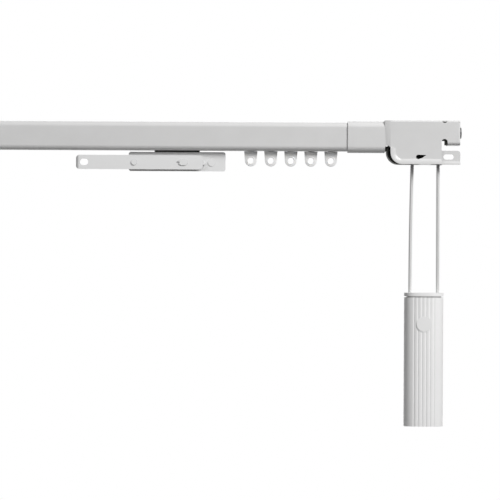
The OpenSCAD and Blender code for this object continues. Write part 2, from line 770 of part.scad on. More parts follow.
// Long arm that laps over or under the other side's; y is its front face
module long_arm(y, height) {
    half = height / 2;
    corner = 3.2;
    curl_r = 3.2;
    x0 = -arm_reach;
    hole_in = 7.3;
    hole_w = 7.2;
    hole_h = 5.6;
    hole_r = 2.6;
    color(enamel) translate([-master_in, 0, 0]) difference() {
        intersection() {
            along_y(y - overrun, curl_r + 2 * overrun)
                translate([(arm_tail - arm_reach) / 2, long_arm_z])
                    round_rect(arm_tail + arm_reach, height, corner);
            // tip rolled back towards the wall
            translate([x0 + curl_r, y, long_arm_z - half]) linear_extrude(height) {
                square([arm_tail - x0 - curl_r, master_t]);
                mirror([1, 0]) lip_section(curl_r, master_t, curl_r);
            }
        }
        along_y(y - overrun, master_t + 2 * overrun) translate([x0 + hole_in, long_arm_z])
            round_rect(hole_w, hole_h, hole_r);
        for (x = arm_rivets)
            rod_y(x, y - overrun, long_arm_z, rivet_r, master_t + 2 * overrun);
        rod_y(eyelet_x, y - overrun, long_arm_z, eyelet_r, master_t + 2 * overrun);
    }
}
module overlap_arm() { at_right() long_arm(front_arm_y, long_arm_h); }
module underlap_arm() { at_left() long_arm(rear_arm_y, rear_arm_h); }

// Rivets with spacers between the arm and the plate, and two up into the neck
module master_rivets(arm_y) {
    front = min(arm_y, plate_front);
    back = max(arm_y, plate_front) + master_t;
    spacer_front = min(arm_y, plate_front) + master_t;
    spacer_back = max(arm_y, plate_front);
    rivet_tail_r = 2.1;
    arm_post_r = 2.3;
    color(zinc) translate([-master_in, 0, 0]) {
        rod_y(arm_rivets[0], front - rivet_head_h, long_arm_z, rivet_head_r, rivet_head_h);
        along_y(front - rivet_head_h, rivet_head_h) translate([arm_rivets[1], long_arm_z])
            difference() {
                slotted(stud_w, stud_h);
                translate([eyelet_x - arm_rivets[1], 0]) circle(eyelet_r + slip);
            }
        for (x = arm_rivets) {
            rod_y(x, front, long_arm_z, rivet_r - fit, back - front);
            rod_y(x, spacer_front, long_arm_z, rivet_head_r, spacer_back - spacer_front);
            rod_y(x, back, long_arm_z, rivet_tail_r, rivet_tail_h);
        }
        // post behind the near end of the arm
        rod_y(arm_tail + post_in, spacer_front, long_arm_z, arm_post_r,
            spacer_back - spacer_front);
        // flush rivets up through the flange into the neck
        for (x = [-1, 1]) translate([x * neck_w / 3, neck_rivet_y, -plate_drop - master_t])
            cylinder(r = neck_rivet_r - fit, h = flush_rivet);
    }
}
// Crimped sleeves that lock one run of cord to the master block
module cord_ferrules(z) {
    color(zinc) translate([-master_in, 0, 0])
        for (x = [-neck_w / 2 - ferrule_w, neck_w / 2]) difference() {
            rod_x(x, mid_y, z, ferrule_r, ferrule_w);
            rod_x(x - overrun, mid_y, z, cord_r + slip / 2, ferrule_w + 2 * overrun);
        }
}
module master_block_right() { at_right() master_block(); }
module master_block_left() { at_left() master_block(); }
module master_plate_right() { at_right() master_plate(); }
module master_plate_left() { at_left() master_plate(); }
module master_rivets_right() { at_right() master_rivets(front_arm_y); }
module master_rivets_left() { at_left() master_rivets(rear_arm_y); }
module cord_ferrules_right() { at_right() cord_ferrules(lower_run_z); }
module cord_ferrules_left() { at_left() cord_ferrules(upper_run_z); }

// Wall plate and the short arm bent out from it
module bracket_base() {
    low = arm_low + 0.6;
    corner = 4;
    arm_end = 6.5;
    color(zinc) difference() {
        union() {
            along_y(-plate_t, plate_t) translate([-wall_plate_in, 0])
                round_rect(plate_w, plate_h, corner);
            block(-wall_plate_in, base_out_x, -plate_t, 0, low, arm_low + arm_h);
            block(base_in_x, base_out_x, -projection_screw_y - arm_end, 0, low,
                arm_low + arm_h);
        }
        for (z = [-1, 1])
            rod_y(-wall_plate_in, -plate_t - overrun, z * wall_hole_pitch / 2, wall_hole_r,
                plate_t + 2 * overrun);
        rod_x(base_in_x - overrun, -projection_screw_y, screw_z, screw_r + bolt_gap,
            plate_t + 2 * overrun);
    }
}
// Arm clamped in the case's return; its long slot sets the projection
module bracket_arm() {
    slot_front = -projection_screw_y - screw_r - bolt_gap;
    slot_back = -projection_screw_y + projection_travel + screw_r + bolt_gap;
    arm_front = face_y + case_sheet + slip;
    slot_to_end = 4;
    arm_back = slot_back + slot_to_end;
    color(zinc) difference() {
        block(arm_in_x, arm_out_x, arm_front, arm_back, arm_low, arm_low + arm_h);
        rod_x(arm_in_x - overrun, clamp_y, screw_z, screw_r + bolt_gap,
            plate_t + 2 * overrun);
        along_x(arm_in_x - overrun, plate_t + 2 * overrun)
            translate([(slot_front + slot_back) / 2, screw_z])
                slotted(slot_back - slot_front, 2 * (screw_r + bolt_gap));
    }
}
// Pan head screw along X with a cross recess; x is under the head
module pan_screw(x, y, length) {
    dome_r = 24;
    recess_w = 1.1;
    recess_half = 2.6;
    recess_depth = 1.1;
    color(zinc) translate([x, y, screw_z]) difference() {
        rotate([0, 90, 0]) rotate_extrude() {
            translate([0, -length]) square([screw_r, length]);
            intersection() {
                square([screw_head_r, screw_head_h]);
                translate([0, screw_head_h - dome_r]) circle(dome_r);
            }
        }
        for (a = [0, 90]) translate([screw_head_h - recess_depth, 0, 0]) rotate([a, 0, 0])
            block(0, 2 * recess_depth, -recess_half, recess_half, -recess_w / 2, recess_w / 2);
    }
}
module square_nut(x, y) {
    color(zinc) translate([x - nut_t, y, screw_z]) difference() {
        block(0, nut_t, -nut_side / 2, nut_side / 2, -nut_side / 2, nut_side / 2);
        rod_x(-overrun, 0, 0, screw_r + fit, nut_t + 2 * overrun);
    }
}
nut_gap = 0.2;
screw_end = 0.8;
clamp_length = case_sheet + plate_t + 2 * slip + nut_t + screw_end;
projection_length = 2 * plate_t + 2 * slip + nut_t + screw_end;
module clamp_screw() { pan_screw(0, clamp_y, clamp_length); }
module clamp_nut() { square_nut(arm_in_x - nut_gap, clamp_y); }
module projection_screw() { pan_screw(arm_out_x, -projection_screw_y, projection_length); }
module projection_nut() { square_nut(base_in_x - nut_gap, -projection_screw_y); }

module bracket_base_right() { at_right() bracket_base(); }
module bracket_base_left() { at_left() bracket_base(); }
module bracket_arm_right() { at_right() bracket_arm(); }
module bracket_arm_left() { at_left() bracket_arm(); }
module clamp_screw_right() { at_right() clamp_screw(); }
module clamp_screw_left() { at_left() clamp_screw(); }
module clamp_nut_right() { at_right() clamp_nut(); }
module clamp_nut_left() { at_left() clamp_nut(); }
module projection_screw_right() { at_right() projection_screw(); }
module projection_screw_left() { at_left() projection_screw(); }
module projection_nut_right() { at_right() projection_nut(); }
module projection_nut_left() { at_left() projection_nut(); }

// Hanging cord: an eight-sided tube with a round top, swept along its route
function ring(p, r) = [for (i = [0:7]) [p[0] + r * cos(45 * i), p[1] + r * sin(45 * i), p[2]]];
module cord_tube(points, radii) {
    n = len(points);
    color(braid) polyhedron(
        points = concat([for (i = [0:n - 1]) each ring(points[i], radii[i])],
            [points[0], points[n - 1]]),
        faces = concat(
            [for (i = [0:n - 2], k = [0:7]) [i * 8 + k, i * 8 + (k + 1) % 8,
                (i + 1) * 8 + (k + 1) % 8]],
            [for (i = [0:n - 2], k = [0:7]) [i * 8 + k, (i + 1) * 8 + (k + 1) % 8,
                (i + 1) * 8 + k]],
            [for (k = [0:7]) [8 * n, (k + 1) % 8, k]],
            [for (k = [0:7]) [8 * n + 1, 8 * (n - 1) + k, 8 * (n - 1) + (k + 1) % 8]]));
}
// from and to are its X at the case and at the weight
module cord_drop(from, to) {
    fall = pivot_z - weight_z;
    dome = [75, 50, 25];
    steps = [for (s = cord_drop_steps) if (s < fall) s];
    cord_tube(
        concat(
            [for (a = dome) [from, mid_y, pivot_z + cord_r * sin(a)]],
            [for (s = steps) [to + (from - to) * pow(1 - s / fall, 2), mid_y, pivot_z - s]],
            [[to, mid_y, weight_z]]),
        concat([for (a = dome) cord_r * cos(a)], [for (s = steps) cord_r], [cord_r]));
}
module cord_drop_left() { cord_drop(end_x - left_exit, weight_x - weight_pulley_r); }
module cord_drop_right() { cord_drop(end_x - right_exit, weight_x + weight_pulley_r); }
module weight_cord() {
    color(braid) {
        cord_wrap(weight_x, weight_axle_z, weight_pulley_r, 180, 180);
        for (x = [-1, 1])
            translate([weight_x + x * weight_pulley_r, mid_y, weight_axle_z])
                cylinder(r = cord_r, h = weight_z - weight_axle_z);
    }
}

// Half outline of the weight in X and Y; way is -1 for the front and 1 for the back
front_power = 2.6;
back_power = 4;
flutes_half = 3;
flute_zone = flutes_half * flute_pitch;
flute_steps = 8;
side_steps = 12;
function flute(x) = abs(x) > flute_zone ? 0
    : flute_depth * pow(abs(sin(180 * x / flute_pitch)), 8);
// X of the outline's points: close together at the rounded sides, even across the flutes
function outline_x(a) =
    let (side = [for (i = [0:side_steps - 1]) a * cos(acos(flute_zone / a) * i / side_steps)],
        middle = flutes_half * flute_steps)
    concat([for (x = side) -x],
        [for (i = [-middle:middle]) i * flute_pitch / flute_steps],
        [for (i = [side_steps - 1:-1:0]) side[i]]);
function half_outline(a, d, power, way, fluted) = [
    for (x = outline_x(a))
        [x, way * (d * pow(max(0, 1 - pow(abs(x) / a, power)), 1 / power)
            - (fluted ? flute(x) : 0))]
];
module front_half(inset, fluted) {
    polygon(half_outline(weight_a - inset, weight_front - inset, front_power, -1, fluted));
}
module back_half(inset) {
    polygon(half_outline(weight_a - inset, weight_back - inset, back_power, 1, false));
}
module at_weight(z) { translate([weight_x, mid_y, z]) children(); }

module weight_cap() {
    spigot = weight_wall + slip;
    spigot_h = 4;
    spigot_t = 1.4;
    color(enamel) at_weight(0) difference() {
        union() {
            translate([0, 0, weight_z - cap_t]) linear_extrude(cap_t) {
                front_half(0, false);
                back_half(0);
            }
            translate([0, 0, cover_top_z - spigot_h])
                linear_extrude(spigot_h + cap_groove + joint)
                difference() {
                    union() { front_half(spigot, false); back_half(spigot); }
                    front_half(spigot + spigot_t, false);
                    back_half(spigot + spigot_t);
                    square([2 * weight_a, seam], center = true);
                }
        }
        for (x = [-1, 1])
            translate([x * weight_pulley_r, 0, cover_top_z - spigot_h - overrun])
                cylinder(r = cord_r + slip, h = spigot_h + cap_groove + cap_t + 2 * overrun);
    }
}
// One half shell with its floor, open at the top
module weight_shell(way) {
    height = cover_top_z - weight_floor_z;
    difference() {
        translate([0, 0, weight_floor_z]) linear_extrude(height)
            if (way < 0) front_half(0, true); else back_half(0);
        translate([0, 0, weight_floor_z + weight_wall]) linear_extrude(height) {
            if (way < 0) front_half(weight_wall, false); else back_half(weight_wall);
            square([2 * (weight_a - weight_wall), 2 * seam], center = true);
        }
    }
}
post_places = [for (x = [-1, 1], z = [upper_post_z, lower_post_z]) [x * post_x, z]];
pilot_r = 1.15;
hub_r = 4;
post_inset = 0.6;
screw_sink = 1.9;
boss_sink = 1;
boss_out = 0.2;
module weight_front_cover() {
    color(enamel) at_weight(0) difference() {
        union() {
            weight_shell(-1);
            intersection() {
                union() {
                    for (p = post_places) rod_y(p[0], -weight_front, p[1], post_r, weight_front);
                    rod_y(0, -weight_front, weight_axle_z, hub_r,
                        weight_front - pulley_w / 2 - slip);
                }
                translate([0, 0, weight_floor_z]) linear_extrude(weight_h)
                    front_half(post_inset, false);
            }
        }
        for (p = post_places) rod_y(p[0], -weight_front / 2, p[1], pilot_r, weight_front);
        rod_y(0, -weight_front - overrun, weight_axle_z, boss_r + turn, overrun + boss_sink);
        rod_y(0, -weight_front - overrun, weight_axle_z, weight_axle_r + fit, weight_front);
    }
}
module weight_back_cover() {
    color(enamel) at_weight(0) difference() {
        union() {
            weight_shell(1);
            intersection() {
                union() {
                    for (p = post_places) rod_y(p[0], 0, p[1], post_r, weight_back);
                    rod_y(0, pulley_w / 2 + slip, weight_axle_z, hub_r, weight_back);
                }
                translate([0, 0, weight_floor_z]) linear_extrude(weight_h) back_half(post_inset);
            }
        }
        for (p = post_places) {
            rod_y(p[0], -overrun, p[1], pilot_r + turn, weight_back + 2 * overrun);
            rod_y(p[0], weight_back - screw_sink, p[1], 2.5, weight_back);
        }
        rod_y(0, 0, weight_axle_z, weight_axle_r + fit, weight_back - weight_wall);
    }
}
module weight_pulley() {
    color(nylon) at_weight(weight_axle_z)
        pulley(weight_pulley_r, weight_pulley_rim, weight_axle_r + turn);
}
// Pin with the round boss that shows on the front
module weight_axle() {
    color(enamel) at_weight(weight_axle_z) {
        rod_y(0, -weight_front - boss_out, 0, boss_r, boss_out + boss_sink - fit);
        rod_y(0, -weight_front, 0, weight_axle_r,
            weight_front + weight_back - weight_wall - lap);
    }
}
module weight_ballast() {
    low = lower_post_z + post_r + slip;
    high = upper_post_z - post_r - slip;
    depth = weight_back + weight_front - 9;
    corner = 2;
    color(zinc) at_weight(low) linear_extrude(high - low)
        round_rect(2 * ballast_a, depth, corner);
}
module weight_screws() {
    tip_y = 1.5 - weight_front / 2;
    head_y = weight_back - screw_sink;
    head_r = 2.1;
    head_t = 1.3;
    color(zinc) at_weight(0) for (p = post_places) {
        rod_y(p[0], tip_y, p[1], pilot_r - fit, head_y - tip_y + joint);
        rod_y(p[0], head_y, p[1], head_r, head_t);
    }
}

bracket_base_right();
projection_nut_right();
projection_screw_right();
bracket_arm_right();
clamp_screw_right();
clamp_nut_right();
outer_track();
end_shell_right();
pulley_cage_right();
end_frame_right();
pulley_axles_right();
pulley_lower_run();
pulley_upper_run();
track_cord();
at_right() slide_at(1);  // slide_right_1
at_right() slide_at(2);  // slide_right_2
at_right() slide_at(3);  // slide_right_3
at_right() slide_at(4);  // slide_right_4
at_right() slide_at(5);  // slide_right_5
master_block_right();
master_plate_right();
overlap_arm();
master_rivets_right();
cord_ferrules_right();
cord_drop_left();
cord_drop_right();
weight_cord();
weight_cap();
weight_front_cover();
weight_back_cover();
weight_pulley();
weight_axle();
weight_ballast();
weight_screws();
inner_track();
end_shell_left();
pulley_cage_left();
end_frame_left();
idler_axle();
idler_pulley();
at_left() slide_at(1);  // slide_left_1
at_left() slide_at(2);  // slide_left_2
at_left() slide_at(3);  // slide_left_3
at_left() slide_at(4);  // slide_left_4
at_left() slide_at(5);  // slide_left_5
master_block_left();
master_plate_left();
underlap_arm();
master_rivets_left();
cord_ferrules_left();
bracket_base_left();
projection_nut_left();
projection_screw_left();
bracket_arm_left();
clamp_screw_left();
clamp_nut_left();
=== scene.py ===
import json
import math

import bmesh
import bpy
import numpy as np
from mathutils import Matrix, Vector


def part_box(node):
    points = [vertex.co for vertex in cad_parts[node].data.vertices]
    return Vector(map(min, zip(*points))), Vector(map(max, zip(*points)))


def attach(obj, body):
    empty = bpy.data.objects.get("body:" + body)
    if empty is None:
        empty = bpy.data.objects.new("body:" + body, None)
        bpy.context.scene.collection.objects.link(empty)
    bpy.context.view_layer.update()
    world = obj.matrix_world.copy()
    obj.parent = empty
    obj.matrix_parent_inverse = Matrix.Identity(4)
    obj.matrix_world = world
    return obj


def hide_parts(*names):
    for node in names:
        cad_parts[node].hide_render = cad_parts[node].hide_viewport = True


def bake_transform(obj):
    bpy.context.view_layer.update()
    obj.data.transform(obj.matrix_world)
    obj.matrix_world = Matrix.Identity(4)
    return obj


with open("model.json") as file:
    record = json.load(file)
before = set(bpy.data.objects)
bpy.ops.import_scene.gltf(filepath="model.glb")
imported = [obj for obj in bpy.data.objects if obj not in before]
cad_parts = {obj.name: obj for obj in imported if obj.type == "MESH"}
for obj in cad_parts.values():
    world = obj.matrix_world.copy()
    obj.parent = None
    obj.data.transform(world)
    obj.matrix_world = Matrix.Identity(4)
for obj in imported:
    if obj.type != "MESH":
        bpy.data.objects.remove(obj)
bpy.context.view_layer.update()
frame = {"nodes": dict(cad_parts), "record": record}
nodes = frame["nodes"]

MM = 0.001


# Camera, at the photograph's place: straight in front, a little rolled

VIEW_WIDTH = 443.3 * MM
VIEW_DISTANCE = 3.0
VIEW_CENTRE_X = -153.8 * MM
VIEW_CENTRE_Z = -100.8 * MM
TRACK_FRONT_Y = -85.3 * MM
ROLL = math.radians(0.3)
SENSOR_WIDTH = 36
CLIP_START = 0.05


def add_camera():
    data = bpy.data.cameras.new("camera")
    data.sensor_width = SENSOR_WIDTH
    data.lens = data.sensor_width * VIEW_DISTANCE / VIEW_WIDTH
    data.clip_start = CLIP_START
    camera = bpy.data.objects.new("camera", data)
    bpy.context.scene.collection.objects.link(camera)
    place = Vector((VIEW_CENTRE_X, TRACK_FRONT_Y - VIEW_DISTANCE, VIEW_CENTRE_Z))
    turn = Matrix.Rotation(math.radians(90), 4, "X") @ Matrix.Rotation(ROLL, 4, "Z")
    camera.matrix_world = Matrix.Translation(place) @ turn
    bpy.context.scene.camera = camera


add_camera()


# Places shared with the solids; a pulley's middle is given as X and Z

MID_Y = -76.3 * MM
CORD_R = 1.6 * MM
CASE_BOTTOM = -24 * MM
CORD_EXITS = {"cord_drop_left": -10 * MM, "cord_drop_right": 13 * MM}
LOWER_PULLEY = (-17 * MM, -11 * MM)
UPPER_PULLEY = (6 * MM, 1 * MM)
CASE_PULLEY_R = 7 * MM
IDLER = (-1147 * MM, 2 * MM)
IDLER_R = 6 * MM
WEIGHT_TOP = -138 * MM
WEIGHT_PULLEY = (0.9 * MM, -165.8 * MM)
WEIGHT_PULLEY_R = 12.3 * MM
HANGING_BODY = "hanging_loop"


# Braided cord, swept along a route of X and Z in the plane Y = MID_Y

STRANDS = 3
BRAID_PITCH = 2.45 * MM
BRAID_DEPTH = 0.5 * MM
YARN_LEVEL = 0.78
YARN_WEAVE = 0.22
YARN_HEIGHT = "yarn_height"
ARC_POINTS = 24
DROP_POINTS = 40
CORD_SIDES = 28
HIDDEN_CORD_SIDES = 16
DROP_RING_STEP = 0.2 * MM
LOOP_RING_STEP = 0.4 * MM
RUN_RING_STEP = 0.8 * MM
# The run in the track ends its radius and this much above the two hanging cords
RUN_END_GAP = 0.3 * MM


def arc(x, z, r, start, end):
    """Points on a circle from one angle to another, in degrees; 0 is +X and 90 is +Z."""
    angles = np.radians(np.linspace(start, end, ARC_POINTS))
    return [(x + r * math.cos(a), z + r * math.sin(a)) for a in angles]


def drop_route(exit_x, end_x):
    """A hanging cord from the case to the weight, bowed in a little on its way."""
    share = np.linspace(0, 1, DROP_POINTS)
    fall = CASE_BOTTOM - WEIGHT_TOP
    return [(end_x + (exit_x - end_x) * (1 - t) ** 2, CASE_BOTTOM - t * fall) for t in share]


def loop_route():
    """The cord inside the weight, down to its pulley, round below it and up again."""
    x, z = WEIGHT_PULLEY
    return ([(x - WEIGHT_PULLEY_R, WEIGHT_TOP)] + arc(x, z, WEIGHT_PULLEY_R, 180, 360)
        + [(x + WEIGHT_PULLEY_R, WEIGHT_TOP)])


def run_route():
    """The cord in the track, from the lower pulley round the idler to the upper pulley."""
    end_z = CASE_BOTTOM + CORD_R + RUN_END_GAP
    return ([(CORD_EXITS["cord_drop_left"], end_z)]
        + arc(*LOWER_PULLEY, CASE_PULLEY_R, 0, 90) + arc(*IDLER, IDLER_R, 270, 90)
        + arc(*UPPER_PULLEY, CASE_PULLEY_R, 90, 0)
        + [(CORD_EXITS["cord_drop_right"], end_z)])


def braid(along, around):
    """Height of a braid's surface from 0 to 1, where along and around are in radians."""
    one = STRANDS / 2 * around + along
    other = STRANDS / 2 * around - along
    over = YARN_WEAVE * np.cos(one + other)
    yarn = np.abs(np.sin(one)) * (YARN_LEVEL + over)
    crossing_yarn = np.abs(np.sin(other)) * (YARN_LEVEL - over)
    return np.maximum(yarn, crossing_yarn)


def closed_grid(name, points):
    """Mesh of rings of points joined in order, with a flat face at each end."""
    rings, sides = points.shape[:2]
    faces = [(i * sides + k, i * sides + (k + 1) % sides, (i + 1) * sides + (k + 1) % sides,
        (i + 1) * sides + k) for i in range(rings - 1) for k in range(sides)]
    faces.append(tuple(reversed(range(sides))))
    faces.append(tuple(range((rings - 1) * sides, rings * sides)))
    mesh = bpy.data.meshes.new(name)
    mesh.from_pydata(points.reshape(-1, 3).tolist(), [], faces)
    mesh.update()
    return mesh


def braided_tube(name, route, ring_step, sides=CORD_SIDES):
    """Mesh of a braided cord along a route, with its yarns' height at every point."""
    line = np.array(route)
    lengths = np.concatenate([[0], np.cumsum(np.linalg.norm(np.diff(line, axis=0), axis=1))])
    at = np.linspace(0, lengths[-1], max(2, round(lengths[-1] / ring_step)))
    centre = np.stack([np.interp(at, lengths, line[:, k]) for k in (0, 1)], axis=1)
    tangent = np.gradient(centre, axis=0)
    tangent /= np.linalg.norm(tangent, axis=1)[:, None]
    turn = np.linspace(0, 2 * np.pi, sides, endpoint=False)
    height = braid(np.pi * at[:, None] / BRAID_PITCH, turn[None, :])
    radius = CORD_R - BRAID_DEPTH * (1 - height)
    side = radius * np.cos(turn)
    depth = radius * np.sin(turn)
    points = np.stack([centre[:, :1] - tangent[:, 1:] * side, MID_Y + depth,
        centre[:, 1:] + tangent[:, :1] * side], axis=2)
    mesh = closed_grid(name, points)
    # The yarns' height is kept for the cord's painted shade between the yarns
    store = mesh.attributes.new(YARN_HEIGHT, "FLOAT", "POINT")
    store.data.foreach_set("value", height.ravel())
    return mesh


def add_piece(name, mesh):
    """Links a finished mesh into the scene as an object of that name, shaded smooth."""
    obj = bpy.data.objects.new(name, mesh)
    bpy.context.scene.collection.objects.link(obj)
    mesh.shade_smooth()
    return obj


def add_cord(node, mesh):
    piece = add_piece("braided_" + node, mesh)
    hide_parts(node)
    return piece


def add_cords():
    pieces = []
    for node, exit_x in CORD_EXITS.items():
        end_x = WEIGHT_PULLEY[0] + math.copysign(WEIGHT_PULLEY_R, exit_x)
        route = drop_route(exit_x, end_x)
        drop = add_cord(node, braided_tube(node, route, DROP_RING_STEP))
        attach(drop, HANGING_BODY)
        pieces.append(drop)
    loop = add_cord("weight_cord", braided_tube("weight_cord", loop_route(), LOOP_RING_STEP))
    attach(loop, HANGING_BODY)
    run = add_cord("track_cord",
        braided_tube("track_cord", run_route(), RUN_RING_STEP, HIDDEN_CORD_SIDES))
    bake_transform(run)
    return pieces + [loop, run]


cords = add_cords()


# Eyed slides, one shape for all ten

SLIDES_PER_SIDE = 5
EYE_Z = -21.2 * MM
EYE_R = 2.6 * MM
EYE_OUT_R = 5.2 * MM
EYE_SIDES = 64
PLATE_TOP_HALF = 5.9 * MM
PLATE_TOP_Z = -13 * MM
# Half of the plate's section, from the bore to its outer edge: the one of the two that the
# distance is taken from, that distance, and half the thickness there, both in mm
PLATE_SECTION = [("bore", 0, 0.9), ("bore", 0.12, 1.2), ("bore", 0.35, 1.3),
    ("bore", 0.85, 1.3), ("bore", 1.1, 1.12), ("bore", 1.4, 1.05), ("edge", 0.5, 1.05),
    ("edge", 0.15, 0.95), ("edge", 0, 0.7)]
HEAD_FLOOR_Z = -10.7 * MM
HEAD_HALF_X = 5.5 * MM
HEAD_HALF_Y = 4.6 * MM
HEAD_HEIGHT = 2.4 * MM
HEAD_CORNER = 0.5 * MM
NECK_HALF_X = 3 * MM
NECK_HALF_Y = 2.2 * MM
NECK_CORNER = 0.3 * MM
NECK_INTO_PLATE = 1.2 * MM
NECK_INTO_HEAD = 0.2 * MM
CORNER_SEGMENTS = 3


def eye_edge(angle):
    """Distance from the eye's middle to the plate's outline at an angle from +X."""
    across, up = abs(math.cos(angle)), math.sin(angle)
    if up <= 0:
        return EYE_OUT_R
    height = PLATE_TOP_Z - EYE_Z
    taper = (PLATE_TOP_HALF - EYE_OUT_R) / height
    to_top = height / up
    if across <= taper * up:
        return to_top
    return min(to_top, EYE_OUT_R / (across - taper * up))


def eye_plate(bm):
    """The plate below the track, with a raised rim round its eye."""
    corner = math.atan2(PLATE_TOP_Z - EYE_Z, PLATE_TOP_HALF)
    angles = sorted(np.linspace(-math.pi, math.pi, EYE_SIDES, endpoint=False).tolist()
        + [corner, math.pi - corner])
    section = ([(base, inset, -depth) for base, inset, depth in PLATE_SECTION]
        + PLATE_SECTION[::-1])
    rings = []
    for base, inset, depth in section:
        radii = [EYE_R + inset * MM if base == "bore" else eye_edge(a) - inset * MM
            for a in angles]
        rings.append([bm.verts.new((r * math.cos(a), depth * MM, EYE_Z + r * math.sin(a)))
            for r, a in zip(radii, angles)])
    for ring, after in zip(rings, rings[1:] + rings[:1]):
        for k in range(len(angles)):
            j = (k + 1) % len(angles)
            bm.faces.new((ring[k], ring[j], after[j], after[k]))


def rounded_box(bm, half_x, half_y, low, high, radius):
    """A box about the Z axis, between two heights, with rounded edges."""
    place = Matrix.Translation((0, 0, (low + high) / 2))
    size = Matrix.Diagonal((2 * half_x, 2 * half_y, high - low, 1))
    box = bmesh.ops.create_cube(bm, size=1, matrix=place @ size)
    edges = {edge for vert in box["verts"] for edge in vert.link_edges}
    bmesh.ops.bevel(bm, geom=list(edges), offset=radius, segments=CORNER_SEGMENTS,
        profile=0.5, affect="EDGES")


def slide_mesh():
    """The plate with its eye, the neck through the track's slot and the head in the track."""
    bm = bmesh.new()
    eye_plate(bm)
    rounded_box(bm, NECK_HALF_X, NECK_HALF_Y, PLATE_TOP_Z - NECK_INTO_PLATE,
        HEAD_FLOOR_Z + NECK_INTO_HEAD, NECK_CORNER)
    rounded_box(bm, HEAD_HALF_X, HEAD_HALF_Y, HEAD_FLOOR_Z, HEAD_FLOOR_Z + HEAD_HEIGHT,
        HEAD_CORNER)
    bmesh.ops.recalc_face_normals(bm, faces=bm.faces)
    mesh = bpy.data.meshes.new("slide")
    bm.to_mesh(mesh)
    bm.free()
    return mesh


def add_slides():
    shape = slide_mesh()
    pieces = []
    for side in ("right", "left"):
        for k in range(1, SLIDES_PER_SIDE + 1):
            node = f"slide_{side}_{k}"
            low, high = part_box(node)
            piece = add_piece("eyed_" + node, shape)
            piece.location = ((low[0] + high[0]) / 2, MID_Y, 0)
            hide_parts(node)
            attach(piece, f"traveller_{side}_{k}")
            pieces.append(piece)
    return pieces


slides = add_slides()


# Materials

RAMP_START = 0.3
RAMP_END = 0.7
# Samples and reach of the painted shade where surfaces lie close together
CONTACT_SHADE_SAMPLES = 8
CONTACT_SHADE_DISTANCE = 1.2 * MM


def shader_of(material):
    return material.node_tree.nodes["Principled BSDF"]


def new_material(name, colour, roughness, **sockets):
    """A Principled material; sockets gives more of its inputs by name."""
    material = bpy.data.materials.new(name)
    material.use_nodes = True
    shader = shader_of(material)
    shader.inputs["Base Color"].default_value = (*colour, 1)
    shader.inputs["Roughness"].default_value = roughness
    for socket, value in sockets.items():
        shader.inputs[socket.replace("_", " ")].default_value = value
    return material


def noise(material, scale, detail=2.0, stretch=(1, 1, 1)):
    """Noise over the piece's own coordinates in metres; returns its factor socket."""
    tree = material.node_tree
    coords = tree.nodes.new("ShaderNodeTexCoord")
    mapping = tree.nodes.new("ShaderNodeMapping")
    mapping.inputs["Scale"].default_value = stretch
    texture = tree.nodes.new("ShaderNodeTexNoise")
    texture.inputs["Scale"].default_value = scale
    texture.inputs["Detail"].default_value = detail
    tree.links.new(coords.outputs["Object"], mapping.inputs["Vector"])
    tree.links.new(mapping.outputs["Vector"], texture.inputs["Vector"])
    return texture.outputs["Fac"]


def painted_contact_shade(material):
    """Painted shade: a factor, from an occlusion node, that falls below 1 where another
    surface lies close by.
    """
    node = material.node_tree.nodes.new("ShaderNodeAmbientOcclusion")
    node.samples = CONTACT_SHADE_SAMPLES
    node.inputs["Distance"].default_value = CONTACT_SHADE_DISTANCE
    return node.outputs["AO"]


def vary(material, socket, factor, low, high):
    """Drives one of the shader's inputs from a factor, between two colours or greys."""
    tree = material.node_tree
    ramp = tree.nodes.new("ShaderNodeValToRGB")
    ramp.color_ramp.elements[0].position = RAMP_START
    ramp.color_ramp.elements[1].position = RAMP_END
    ramp.color_ramp.elements[0].color = (*low, 1)
    ramp.color_ramp.elements[1].color = (*high, 1)
    tree.links.new(factor, ramp.inputs["Fac"])
    tree.links.new(ramp.outputs["Color"], shader_of(material).inputs[socket])


def add_bump(material, height, strength, distance):
    tree = material.node_tree
    bump = tree.nodes.new("ShaderNodeBump")
    bump.inputs["Strength"].default_value = strength
    bump.inputs["Distance"].default_value = distance
    tree.links.new(height, bump.inputs["Height"])
    tree.links.new(bump.outputs["Normal"], shader_of(material).inputs["Normal"])


def grey(value, warm=0.0):
    """A grey, with as much more red and less blue as warm says."""
    return (value + warm, value, value - warm)


def make_enamel(name, level):
    """Satin baked enamel, with faint orange peel and a slightly uneven gloss."""
    material = new_material(name, grey(level), roughness=0.34, Coat_Weight=0.25,
        Coat_Roughness=0.18)
    vary(material, "Roughness", noise(material, scale=140, detail=4), grey(0.29), grey(0.40))
    add_bump(material, noise(material, scale=900, detail=3), strength=0.12,
        distance=0.05 * MM)
    return material


def make_white_enamel():
    """Enamel of the tubes and cases."""
    level = 0.70
    material = make_enamel("white_enamel", level)
    vary(material, "Base Color", noise(material, scale=60), grey(level - 0.01, 0.003),
        grey(level + 0.01, 0.002))
    return material


def make_bright_enamel():
    """Whiter enamel, with painted shade that darkens it to dark grey where it meets a rivet
    or a fold.
    """
    material = make_enamel("bright_enamel", 0.82)
    # Painted shade: the base colour falls towards dark grey where another surface lies close
    # by
    vary(material, "Base Color", painted_contact_shade(material), grey(0.1), grey(0.84))
    return material


def make_zinc():
    """Zinc plate: bright, with fine rolled grain and cloudy passivation."""
    material = new_material("zinc_plate", grey(0.6), roughness=0.35, Metallic=1.0)
    vary(material, "Base Color", noise(material, scale=220, detail=5), (0.52, 0.53, 0.55),
        (0.66, 0.66, 0.66))
    vary(material, "Roughness", noise(material, scale=400, detail=4), grey(0.24), grey(0.46))
    add_bump(material, noise(material, scale=2600, detail=3, stretch=(0.12, 1, 1)),
        strength=0.15, distance=0.05 * MM)
    return material


